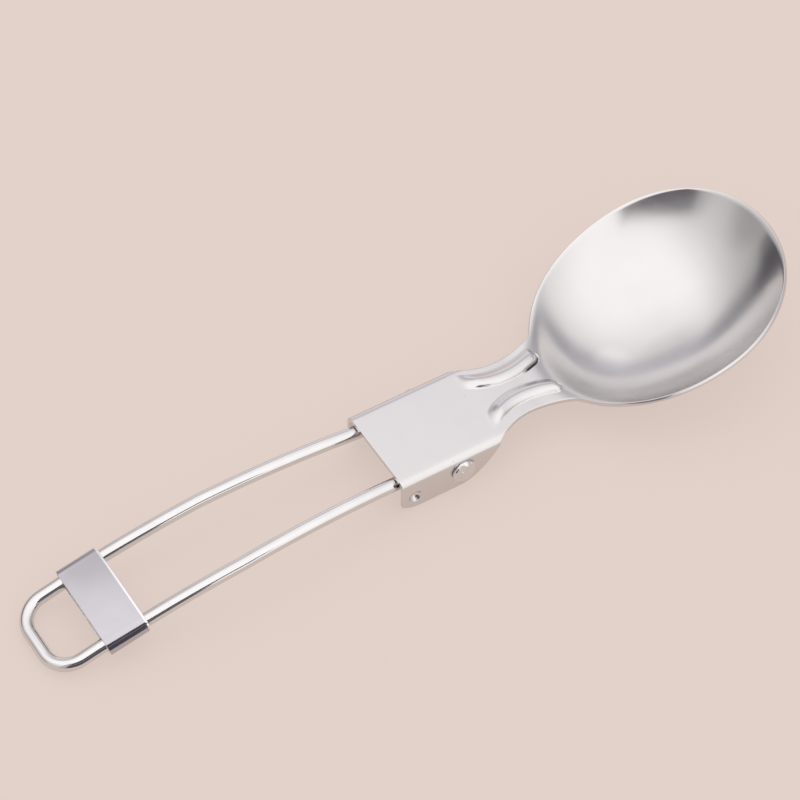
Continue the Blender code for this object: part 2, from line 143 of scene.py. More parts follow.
@dataclass(frozen=True)
class SteelFinish:
    """One finish of stainless steel.

    The colours are what the metal sends back of white light, save where a finish's comment says
    that shade or a highlight is painted into them. Sizes of marks are the real ones, except where
    a comment says that they are drawn coarser so that they show. Mark names the piece's own
    attribute for places of another colour, where shade or a highlight is painted; dull names the
    one for places left dull.
    """

    name: str
    surface: Surface
    light: str
    shade: str
    roughness: float
    roughness_spread: float
    grain_mm: float
    grain_depth_um: float
    wave_mm: float
    wave_depth_um: float
    cloud_mm: float
    pit_mm: float
    mark: str = ""
    # The mark's colour, by default the dark of painted shade
    mark_hex: str = "#2E2B2C"
    dull: str = ""
    dull_roughness: float = 0.5

    def build(self) -> bpy.types.Material:
        """Build the finish as a material on the piece's own coordinates.

        Returns:
            The new material.
        """
        material = bpy.data.materials.new(self.name)
        material.use_nodes = True
        tree = material.node_tree
        shader = tree.nodes["Principled BSDF"]
        shader.inputs["Metallic"].default_value = 1.0
        place = add_node(tree, "ShaderNodeTexCoord").outputs["Object"]
        # Broad, faint changes of tone and gloss that handling and polishing leave
        broad = {"Vector": place, "Scale": 1 / (self.cloud_mm * MM), "Detail": CLOUD_DETAIL}
        cloud = add_node(tree, "ShaderNodeTexNoise", broad).outputs["Fac"]
        tree.links.new(self._tone(tree, place, cloud), shader.inputs["Base Color"])
        swing = {
            "Value": cloud,
            "From Min": NOISE_LOW,
            "From Max": NOISE_HIGH,
            "To Min": self.roughness - self.roughness_spread,
            "To Max": self.roughness + self.roughness_spread,
        }
        rough = add_node(tree, "ShaderNodeMapRange", swing).outputs["Result"]
        if self.dull:
            # No polishing wheel reached here
            inside = add_node(tree, "ShaderNodeAttribute", attribute_name=self.dull).outputs["Fac"]
            reached = {"Value": inside, "To Min": rough, "To Max": self.dull_roughness}
            rough = add_node(tree, "ShaderNodeMapRange", reached).outputs["Result"]
        tree.links.new(rough, shader.inputs["Roughness"])
        slow = {"Vector": place, "Scale": 1 / (self.wave_mm * MM), "Detail": WAVE_DETAIL}
        wave = add_node(tree, "ShaderNodeTexNoise", slow).outputs["Fac"]
        grain = self._grain(tree, place)
        # The fine grain lies on the slow waves that forming left
        relief: dict[str, Socket | float] = {}
        for height, depth_um in ((wave, self.wave_depth_um), (grain, self.grain_depth_um)):
            relief |= {"Height": height, "Strength": 1.0, "Distance": depth_um * UM}
            relief["Normal"] = add_node(tree, "ShaderNodeBump", relief).outputs["Normal"]
        tree.links.new(relief["Normal"], shader.inputs["Normal"])
        return material

    def _tone(self, tree: Tree, place: Socket, cloud: Socket) -> Socket:
        """Add the colour: tone clouds, tiny dull pits, and marks of painted shade and highlights.

        Args:
            tree: The material's tree.
            place: Coordinates on the piece.
            cloud: The broad changes of tone.

        Returns:
            The colour at each place.
        """
        cells = {"Vector": place, "Scale": 1 / (self.pit_mm * MM)}
        spot = {
            "Value": add_node(tree, "ShaderNodeTexVoronoi", cells).outputs["Distance"],
            "From Min": PIT_MIDDLE,
            "From Max": PIT_EDGE,
            "To Min": PIT_STRENGTH,
            "To Max": 0.0,
        }
        pits = add_node(tree, "ShaderNodeMapRange", spot).outputs["Result"]
        layers = [(cloud, self.light), (pits, PIT_HEX)]
        # Marked places: painted shade in the head's tucks, a painted highlight on the ring's cut
        # edges
        if self.mark:
            marked = add_node(tree, "ShaderNodeAttribute", attribute_name=self.mark)
            layers.append((marked.outputs["Fac"], self.mark_hex))
        tone: Colour | Socket = linear_colour(self.shade)
        for share, colour in layers:
            mix = {MIX_SHARE: share, MIX_BEFORE: tone, MIX_AFTER: linear_colour(colour)}
            tone = add_node(tree, "ShaderNodeMix", mix, data_type="RGBA").outputs[MIX_RESULT]
        return tone

    def _grain(self, tree: Tree, place: Socket) -> Socket:
        """Add the fine marks of the finish, stretched the way it was worked.

        Args:
            tree: The material's tree.
            place: Coordinates on the piece.

        Returns:
            The height of the marks, from 0 to 1.
        """
        scale = tuple(1 / (self.grain_mm * MM) * stretch for stretch in self.surface.value)
        mapped = add_node(tree, "ShaderNodeMapping", {"Vector": place, "Scale": scale})
        fine = {"Vector": mapped.outputs["Vector"], "Scale": 1.0}
        return add_node(tree, "ShaderNodeTexNoise", fine).outputs["Fac"]


# Tumbled in ceramic media after stamping: even satin whose grain of under 0.1 mm is drawn at
# 0.3 mm. The bottoms of the beads' tucks are painted dark: painted shade in the creases
TUMBLED_SHEET = SteelFinish(
    name="tumbled_stainless",
    surface=Surface.TUMBLED,
    light="#DFDDDC",
    shade="#D8D6D5",
    roughness=0.20,
    roughness_spread=0.015,
    grain_mm=0.30,
    grain_depth_um=0.5,
    wave_mm=5.0,
    wave_depth_um=20.0,
    cloud_mm=7.0,
    pit_mm=5.5,
    # Painted shade: the bottoms of the beads' tucks take the dark mark colour
    mark="tuck_shade",
)
# Drawn through a die: bright, with die lines along the wire, drawn at 0.25 mm
DRAWN_WIRE = SteelFinish(
    name="drawn_bright_stainless",
    surface=Surface.DRAWN,
    light="#E6E5E4",
    shade="#DAD9D8",
    roughness=0.105,
    roughness_spread=0.02,
    grain_mm=0.25,
    grain_depth_um=0.5,
    wave_mm=3.0,
    wave_depth_um=5.0,
    cloud_mm=4.0,
    pit_mm=4.0,
)
# Cold rolled bright strip: smooth, its tone set greyer than the sheet's as painted shade for the
# dimmer surroundings that it reflects, its fine grain drawn at 0.4 mm, with sheared edges painted
# near white, bare metal with a painted highlight, and an inner side that polishing didn't reach
ROLLED_STRIP = SteelFinish(
    name="rolled_bright_strip",
    surface=Surface.ROLLED,
    # Greyer than the sheet's tone: painted shade for the dimmer surroundings that the ring
    # reflects
    light="#C7C5C9",
    shade="#C0BDC2",
    roughness=0.12,
    roughness_spread=0.02,
    grain_mm=0.40,
    grain_depth_um=0.4,
    wave_mm=4.0,
    wave_depth_um=7.0,
    cloud_mm=3.0,
    pit_mm=3.2,
    # Cut edges painted near white: bare sheared metal with a painted highlight
    mark="sheared_and_glint",
    mark_hex="#F8F7F7",
    dull="inside",
)


def add_object(name: str, data: bpy.types.ID) -> bpy.types.Object:
    """Make an object of a mesh, lamp or camera and link it to the scene.

    Args:
        name: Name of the object.
        data: What the object shows.

    Returns:
        The new object.
    """
    thing = bpy.data.objects.new(name, data)
    bpy.context.scene.collection.objects.link(thing)
    return thing


def mesh_object(
    name: str, points: np.ndarray, faces: Sequence[tuple], edges: Sequence[tuple] = ()
) -> bpy.types.Object:
    """Make a linked object from points, faces and loose edges, shaded smooth.

    Args:
        name: Name of the object and its mesh.
        points: One row of three coordinates for each vertex.
        faces: Vertex numbers of each face.
        edges: Vertex numbers of each edge that belongs to no face.

    Returns:
        The new object.
    """
    mesh = bpy.data.meshes.new(name)
    mesh.from_pydata(points.tolist(), edges, faces)
    mesh.update()
    mesh.shade_smooth()
    return add_object(name, mesh)


def mark_points(thing: bpy.types.Object, name: str, values: Sequence[float]) -> None:
    """Store one value for each point of a mesh, which a finish or a modifier reads by name."""
    thing.data.attributes.new(name, "FLOAT", "POINT").data.foreach_set("value", values)


def settle(thing: bpy.types.Object, material: bpy.types.Material) -> bpy.types.Object:
    """Replace an object's mesh by what its modifiers make of it.

    Args:
        thing: Object whose modifiers are applied.
        material: The one material of the result.

    Returns:
        The same object with a plain mesh and no modifiers.
    """
    bpy.context.view_layer.update()
    graph = bpy.context.evaluated_depsgraph_get()
    plain = bpy.data.meshes.new_from_object(thing.evaluated_get(graph))
    thing.modifiers.clear()
    thing.data = plain
    plain.materials.clear()
    plain.materials.append(material)
    plain.shade_smooth()
    return thing


@dataclass
class SpoonHead:
    """Bowl, beaded neck and hinge housing, pressed from one sheet."""

    sheet: float = 0.8 * MM
    handle_reach: float = 70.4 * MM
    housing_length: float = 21.0 * MM
    neck_length: float = 15.6 * MM
    bowl_length: float = 48.0 * MM
    housing_width: float = 19.0 * MM
    housing_pitch: float = math.radians(2.8)
    flange_depth: float = 7.75 * MM
    flange_end_drop: float = 0.8 * MM
    fold_radius: float = 1.8 * MM
    rear_corner_length: float = 3.5 * MM
    rear_corner_rise: float = 1.25 * MM
    flange_sweep: float = 9.0 * MM
    pivot_from_rear: float = 12.8 * MM
    pivot_below_top: float = 3.4 * MM
    pivot_hole: float = 3.0 * MM
    dimple_from_rear: float = 2.7 * MM
    dimple_below_top: float = 4.8 * MM
    dimple_radius: float = 1.35 * MM
    dimple_depth: float = 1.0 * MM
    dimple_rise: float = 0.55 * MM
    dimple_power: float = 0.8
    waist_width: float = 12.7 * MM
    waist_from_housing: float = 8.3 * MM
    neck_rear_flare: float = 2.85 * MM
    neck_front_flare: float = 1.4 * MM
    flare_overlap: float = 3.0 * MM
    bead_width: float = 2.7 * MM
    bead_height: float = 0.95 * MM
    groove_width: float = 1.8 * MM
    groove_depth: float = 0.7 * MM
    bead_from_edge: float = 3.6 * MM
    bead_start_gap: float = 0.2 * MM
    bead_overlap: float = 0.4 * MM
    bead_rear_run: float = 3.4 * MM
    bead_front_run: float = 1.2 * MM
    # Shares of a bead's half width: its soft flank's reach and the blend from crisp to soft
    bead_soft_share: float = 1.7
    bead_blend: float = 0.5
    crisp_power: float = 0.6
    soft_power: float = 1.5
    far_tuck: float = 4.2 * MM
    near_tuck: float = 1.3 * MM
    tuck_width: float = 0.20 * MM
    tuck_depth: float = 0.36 * MM
    # Where a tuck ends, in half widths across its bead and in front runs past it
    tuck_side: float = 0.5
    tuck_end: float = 1.25
    # How strongly, and from what depth down, the tucks' bottoms are painted dark as painted shade
    tuck_shade_gain: float = 1.6
    tuck_shade_floor: float = 0.5
    bowl_width: float = 41.8 * MM
    bowl_rear: float = 26.0 * MM
    bowl_depth: float = 10.6 * MM
    rim_drop: float = 0.3 * MM
    rim_pitch: float = math.radians(13.7)
    rim_radius: float = 0.66
    rim_blend: float = 2.0 * MM
    outline_power: float = 2.08
    hollow_power: float = 1.2
    fillet_power: float = 14.0
    entry_softness: float = 0.15
    entry_length: float = 9.0 * MM
    edge_round: float = 0.07 * MM
    edge_segments: int = 3
    edge_cell: float = 0.3 * MM
    flat_columns: int = 30
    fold_columns: int = 10
    flange_columns: int = 26
    bowl_rows: int = 72
    tip_bow: float = 1.5
    bore_segments: int = 48
    rest_stations: int = 201
    housing_step: float = 0.24 * MM
    neck_step: float = 0.18 * MM
    slope_step: float = 0.02 * MM
    finish: SteelFinish = TUMBLED_SHEET

    def __post_init__(self) -> None:
        """Work out the places along the spoon and how high it rests."""
        total = self.handle_reach + self.housing_length + self.neck_length + self.bowl_length
        self.housing_x = -total / 2 + self.handle_reach
        self.neck_x = self.housing_x + self.housing_length
        self.bowl_x = self.neck_x + self.neck_length
        self.tip_x = self.bowl_x + self.bowl_length
        self.widest_x = self.bowl_x + self.bowl_rear
        self.waist_x = self.neck_x + self.waist_from_housing
        self.pivot_x = self.housing_x + self.pivot_from_rear
        self.flat_half = self.housing_width / 2 - self.fold_radius
        self.inner_fold = self.fold_radius - self.sheet
        self.fold_arc = self.inner_fold * QUARTER
        places = np.linspace(self.bowl_x, self.tip_x, self.rest_stations)
        under = self.sheet_line(places) - self.hollow(places, np.zeros_like(places))
        self.rest = -float(np.min(under))

    def top_height(self, x: float) -> float:
        """Return the height of the flat top at a place along the housing."""
        return self.rest + self.sheet + float(self.sheet_line(np.array(x)))

    def sheet_line(self, x: np.ndarray) -> np.ndarray:
        """Return the sheet's height along the middle, before beads and hollow.

        Args:
            x: Places along the spoon.

        Returns:
            Heights against the housing's line where the bowl starts.
        """
        run = x - self.bowl_x
        top = -run * math.tan(self.housing_pitch)
        rim = -self.rim_drop + run * math.tan(self.rim_pitch) + run * run / (2 * self.rim_radius)
        share = np.clip((1 + (top - rim) / self.rim_blend) / 2, 0.0, 1.0)
        return top * share + rim * (1 - share) + self.rim_blend * share * (1 - share)

    def bowl_measure(self, x: np.ndarray, y: np.ndarray) -> np.ndarray:
        """Return how far out a place lies in the bowl.

        Args:
            x: Places along the spoon.
            y: Places across it.

        Returns:
            0 at the bowl's widest place, 1 on its egg outline and more outside.
        """
        length = np.where(x < self.widest_x, self.bowl_rear, self.bowl_length - self.bowl_rear)
        along = np.abs(x - self.widest_x) / length
        across = np.abs(y) / (self.bowl_width / 2)
        return along**self.outline_power + across**self.outline_power

    def hollow(self, x: np.ndarray, y: np.ndarray) -> np.ndarray:
        """Return the bowl's depth below the sheet line, with a soft entry from the neck.

        Args:
            x: Places along the spoon.
            y: Places across it.

        Returns:
            The depths.
        """
        inside = 1.0 - self.bowl_measure(x, y) ** self.hollow_power
        rise = smooth_step((x - self.neck_x) / self.neck_length)
        fall = smooth_step((self.bowl_x + self.entry_length - x) / self.entry_length)
        soft = np.hypot(inside, self.entry_softness * rise * fall)
        return self.bowl_depth * (inside + soft) / 2

    def neck_half(self, x: np.ndarray) -> np.ndarray:
        """Return the half width of the waisted neck alone.

        Args:
            x: Places along the spoon.

        Returns:
            The half widths.
        """
        rear = self.neck_rear_flare * ((self.waist_x - x) / self.waist_from_housing) ** 2
        reach = self.neck_length - self.waist_from_housing
        front = self.neck_front_flare * ((x - self.waist_x) / reach) ** 2
        return self.waist_width / 2 + np.where(x < self.waist_x, rear, front)

    def outline(self, x: np.ndarray) -> np.ndarray:
        """Return the half width of the sheet in plan, with a fillet from neck to bowl.

        Args:
            x: Places along the spoon.

        Returns:
            The half widths.
        """
        left = np.maximum(0.0, 1.0 - self.bowl_measure(x, np.zeros_like(x)))
        egg = self.bowl_width / 2 * left ** (1 / self.outline_power)
        neck = self.neck_half(np.minimum(x, self.bowl_x + self.flare_overlap))
        power = self.fillet_power
        joined = (egg / self.bowl_width) ** power + (neck / self.bowl_width) ** power
        return np.where(x >= self.widest_x, egg, self.bowl_width * joined ** (1 / power))

    def blank_half(self, x: np.ndarray) -> np.ndarray:
        """Return the half width of the blank before its sides are folded down.

        Args:
            x: Places along the spoon.

        Returns:
            The half widths, measured along the sheet's inner side.
        """
        rear = np.maximum(0.0, 1.0 - (x - self.housing_x) / self.rear_corner_length)
        sweep = np.clip((x - (self.neck_x - self.flange_sweep)) / self.flange_sweep, 0.0, 1.0)
        full = self.flange_depth - self.rear_corner_rise * rear**2
        drop = self.flange_end_drop + (full - self.flange_end_drop) * (1 - sweep**2)
        turned = self.inner_fold * np.arccos(np.clip(1 - drop / self.fold_radius, 0.0, 1.0))
        straight = self.fold_arc + drop - self.fold_radius
        folded = self.flat_half + np.where(drop >= self.fold_radius, straight, turned)
        plan = self.outline(x)
        past = np.clip((plan - self.flat_half) / self.fold_radius, 0.0, 1.0)
        unrolled = self.flat_half + self.inner_fold * np.arcsin(past)
        in_plan = np.where((x > self.waist_x) | (plan <= self.flat_half), plan, unrolled)
        return np.where(x < self.neck_x, folded, in_plan)

    def plain(self, x: np.ndarray, across: np.ndarray) -> np.ndarray:
        """Return points of the under side without beads and dimples.

        Args:
            x: Places along the spoon.
            across: Places across the blank.

        Returns:
            The points, with their coordinates last.
        """
        size = np.abs(across)
        side = np.sign(across)
        height = self.rest + self.sheet_line(x)
        flat = (size <= self.flat_half) | (x > self.waist_x)
        turn = np.clip((size - self.flat_half) / self.inner_fold, 0.0, QUARTER)
        down = np.maximum(0.0, size - self.flat_half - self.fold_arc)
        y = np.where(flat, size, self.flat_half + self.inner_fold * np.sin(turn))
        turned = self.inner_fold * (1 - np.cos(turn)) + down
        drop = np.where(flat, self.hollow(x, size), turned)
        return np.stack([x, side * y, height - drop], axis=-1)

    def bead_place(
        self, x: np.ndarray, y: np.ndarray, width: float
    ) -> tuple[np.ndarray, np.ndarray]:
        """Return where places lie on a bead.

        Args:
            x: Places along the spoon.
            y: Places across it.
            width: The bead's width.

        Returns:
            How far each lies across the bead and past its front end, both 1 on the bead's edge.
        """
        end = self.bowl_x + self.bead_overlap - self.bead_front_run
        along = np.clip(x, self.neck_x, self.bowl_x)
        centre = self.neck_half(along) - self.bead_from_edge
        away = (np.abs(y) - centre) / (width / 2)
        return away, np.maximum(x - end, 0.0) / self.bead_front_run

    def bead(self, x: np.ndarray, y: np.ndarray, width: float, height: float) -> np.ndarray:
        """Return the rise of the two beads, crisp on the right and soft on the left and behind.

        Args:
            x: Places along the spoon.
            y: Places across it.
            width: The beads' width.
            height: The beads' height.

        Returns:
            How far each place is raised.
        """
        away, past = self.bead_place(x, y, width)
        left = np.where(y > 0, away, -away)
        soft = smooth_step(left / self.bead_blend + 0.5)
        share = np.where(left < 0, 1.0, self.bead_soft_share)
        power = self.crisp_power + (self.soft_power - self.crisp_power) * soft
        rise = smooth_step((x - self.neck_x - self.bead_start_gap) / self.bead_rear_run)
        inside = np.maximum(0.0, 1.0 - (left / share) ** 2 - past**2)
        return height * rise * inside**power

    def tuck(self, x: np.ndarray, y: np.ndarray) -> np.ndarray:
        """Return the crease that the punch leaves at each bead's inner front.

        Args:
            x: Places along the spoon.
            y: Places across it.

        Returns:
            0 outside the crease and 1 at its bottom. It deepens over the first third.
        """
        away, past = self.bead_place(x, y, self.bead_width)
        off = (np.hypot(away, past) - 1.0) * self.bead_width / 2 / self.tuck_width
        length = np.where(y > 0, self.far_tuck, self.near_tuck)
        along = smooth_step((x - self.bowl_x - self.bead_overlap + length) / (length / 3))
        inner = smooth_step((self.tuck_side - away) / self.tuck_side)
        before = smooth_step((self.tuck_end - past) / (self.tuck_end - 1.0))
        return along * inner * before * np.exp(-(off**2))

    def dimple(self, points: np.ndarray, radius: float, depth: float) -> np.ndarray:
        """Return how far the detent dimples press each point inwards.

        Args:
            points: Points of the head.
            radius: The dimples' radius.
            depth: The dimples' depth.

        Returns:
            The distances.
        """
        x = self.housing_x + self.dimple_from_rear
        z = self.top_height(x) - self.dimple_below_top
        away = np.hypot(points[..., 0] - x, points[..., 2] - z) / radius
        pressed = depth * np.clip(1 - away**2, 0.0, 1.0) ** self.dimple_power
        return np.where(np.abs(points[..., 1]) > self.flat_half, pressed, 0.0)

    def skins(self, x: np.ndarray, across: np.ndarray) -> tuple[np.ndarray, np.ndarray]:
        """Return the under side and the top side, a sheet apart, with beads and dimples.

        Args:
            x: Places along the spoon.
            across: Places across the blank.

        Returns:
            The points of the under side and those of the top side.
        """
        step = self.slope_step
        along = self.plain(x + step, across) - self.plain(x - step, across)
        outward = self.plain(x, across + step) - self.plain(x, across - step)
        normal = np.cross(along, outward)
        normal /= np.linalg.norm(normal, axis=-1, keepdims=True)
        under = self.plain(x, across)
        top = under + normal * self.sheet
        under[..., 2] += self.bead(x, under[..., 1], self.groove_width, self.groove_depth)
        top[..., 2] += self.bead(x, top[..., 1], self.bead_width, self.bead_height)
        top[..., 2] -= self.tuck_depth * self.tuck(x, top[..., 1])
        side = np.sign(across)
        # Inside the housing a dimple comes out wider than it was pressed
        inner_radius = self.dimple_radius + self.sheet / 4
        under[..., 1] -= side * self.dimple(under, inner_radius, self.dimple_rise)
        top[..., 1] -= side * self.dimple(top, self.dimple_radius, self.dimple_depth)
        return under, top

    def columns(self, x: np.ndarray) -> np.ndarray:
        """Return the places across the half blank, closest together in the fold.

        Args:
            x: Stations along the spoon.

        Returns:
            One row of places for each station, from the middle to the edge.
        """
        half = self.blank_half(x)
        total = self.flat_columns + self.fold_columns + self.flange_columns
        spread = smooth_step((x - self.neck_x) / (self.waist_x - self.neck_x))
        last = half - self.edge_cell
        # Room that is left for the fold where the sheet is narrow
        margin = self.fold_radius / 8
        flat_end = np.minimum(self.flat_half, last - 2 * margin)
        fold_end = np.minimum(self.flat_half + self.fold_arc, last - margin)
        flat_end += spread * (last * self.flat_columns / total - flat_end)
        fold_end += spread * (last * (self.flat_columns + self.fold_columns) / total - fold_end)
        middle = np.zeros_like(half)
        parts = [
            np.linspace(middle, flat_end, self.flat_columns, endpoint=False, axis=-1),
            np.linspace(flat_end, fold_end, self.fold_columns, endpoint=False, axis=-1),
            np.linspace(fold_end, last, self.flange_columns + 1, axis=-1),
            half[..., None],
        ]
        return np.concatenate(parts, axis=-1)

    def grid(self) -> tuple[np.ndarray, np.ndarray]:
        """Return the net of the whole sheet, whose rows bow forward round the bowl's tip.

        Returns:
            Stations along the spoon and places across the blank, row by row.
        """
        turn_x = self.bowl_x + self.entry_length / 2
        rear_count = round(self.housing_length / self.housing_step)
        neck_count = round((turn_x - self.neck_x) / self.neck_step)
        first = self.housing_x + self.edge_cell
        rear = np.linspace(first, self.neck_x, rear_count, endpoint=False)
        neck = np.linspace(self.neck_x, turn_x, neck_count, endpoint=False)
        # The last row leaves the bowl's outline half way round the tip
        side_end = self.widest_x + (self.tip_x - self.widest_x) * math.sin(math.pi / 4)
        share = np.linspace(0.0, 1.0, self.bowl_rows)
        side = np.concatenate([[self.housing_x], rear, neck, turn_x + (side_end - turn_x) * share])
        half = self.columns(side)
        bow = np.concatenate([np.zeros(1 + rear_count + neck_count), share**self.tip_bow])[:, None]
        tip_y = half / half[:, -1:] * float(self.outline(np.array(side_end)))
        left = 1.0 - (tip_y / (self.bowl_width / 2)) ** self.outline_power
        tip = self.widest_x + (self.tip_x - self.widest_x) * left ** (1 / self.outline_power)
        x = side[:, None] + bow * (tip - side_end)
        across = np.concatenate([-half[:, :0:-1], half], axis=1)
        return np.concatenate([x[:, :0:-1], x], axis=1), across

    def build(self) -> bpy.types.Object:
        """Build the head as one closed body with rounded sheet edges and open pivot holes.

        Returns:
            The finished head.
        """
        x, across = self.grid()
        under, top = self.skins(x, across)
        rows, cols = x.shape
        count = rows * cols
        points = np.concatenate([under.reshape(-1, 3), top.reshape(-1, 3)])
        faces: list[tuple[int, ...]] = []
        for r in range(rows - 1):
            for c in range(cols - 1):
                a = r * cols + c
                faces.append((a + 1, a + cols + 1, a + cols, a))
                faces.append((count + a, count + a + cols, count + a + cols + 1, count + a + 1))
        edge = list(range(cols))
        edge += [r * cols + cols - 1 for r in range(1, rows)]
        edge += [(rows - 1) * cols + c for c in range(cols - 2, -1, -1)]
        edge += [r * cols for r in range(rows - 2, 0, -1)]
        points, loops = self.round_edge(points, np.array(edge), count)
        for lower, upper in zip(loops, loops[1:]):
            around = zip(lower, upper, np.roll(upper, -1), np.roll(lower, -1))
            faces += [tuple(int(v) for v in face) for face in around]
        head = mesh_object("stamped_head", points, faces)
        # Painted shade: the deepest part of each tuck on the top side is coloured dark, where the
        # crease lies in shadow
        depth = self.tuck(x, top[..., 1]).ravel() * self.tuck_shade_gain - self.tuck_shade_floor
        tuck_shade = np.zeros(len(points))
        tuck_shade[count : 2 * count] = np.clip(depth, 0.0, 1.0)
        mark_points(head, "tuck_shade", tuck_shade)
        self._bore(head)
        return head

    def round_edge(
        self, points: np.ndarray, edge: np.ndarray, count: int
    ) -> tuple[np.ndarray, list[np.ndarray]]:
        """Round the sheet's free edge all the way round, as tumbling leaves it.

        Args:
            points: Points of the under side, then of the top side.
            edge: Numbers of the under side's outermost points in order, clockwise from above.
            count: How many points one side has.

        Returns:
            All points with the edge's own added, and its loops of numbers from under side to top.
        """
        low, high = points[edge], points[edge + count]
        up = high - low
        up /= np.linalg.norm(up, axis=1, keepdims=True)
        out = np.cross(up, np.roll(low, -1, axis=0) - np.roll(low, 1, axis=0))
        out /= np.linalg.norm(out, axis=1, keepdims=True)
        size = self.edge_round
        low, high = low - out * size, high - out * size
        points[edge], points[edge + count] = low, high
        turns = [QUARTER * k / self.edge_segments for k in range(1, self.edge_segments + 1)]
        lower = [low + size * (up * (1 - math.cos(t)) + out * math.sin(t)) for t in turns]
        upper = [high + size * (out * math.sin(t) - up * (1 - math.cos(t))) for t in turns[::-1]]
        added = [len(points) + len(edge) * k + np.arange(len(edge)) for k in range(2 * len(turns))]
        return np.concatenate([points, *lower, *upper]), [edge, *added, edge + count]

    def _bore(self, head: bpy.types.Object) -> None:
        """Cut the pivot holes through both sides and give the head its finish.

        Args:
            head: The closed head, before it has a material.
        """
        work = bmesh.new()
        radius = self.pivot_hole / 2
        bmesh.ops.create_cone(
            work,
            cap_ends=True,
            segments=self.bore_segments,
            radius1=radius,
            radius2=radius,
            depth=self.housing_width + self.sheet,
        )
        height = self.top_height(self.pivot_x) - self.pivot_below_top
        turn = Matrix.Rotation(QUARTER, 4, "X")
        turn = Matrix.Translation((self.pivot_x, 0.0, height)) @ turn
        bmesh.ops.transform(work, matrix=turn, verts=work.verts)
        mesh = bpy.data.meshes.new("bore")
        work.to_mesh(mesh)
        work.free()
        cutter = add_object("bore", mesh)
        cut = head.modifiers.new("bore", "BOOLEAN")
        cut.operation = "DIFFERENCE"
        cut.solver = "EXACT"
        cut.object = cutter
        settle(head, self.finish.build())
        bpy.data.objects.remove(cutter, do_unlink=True)


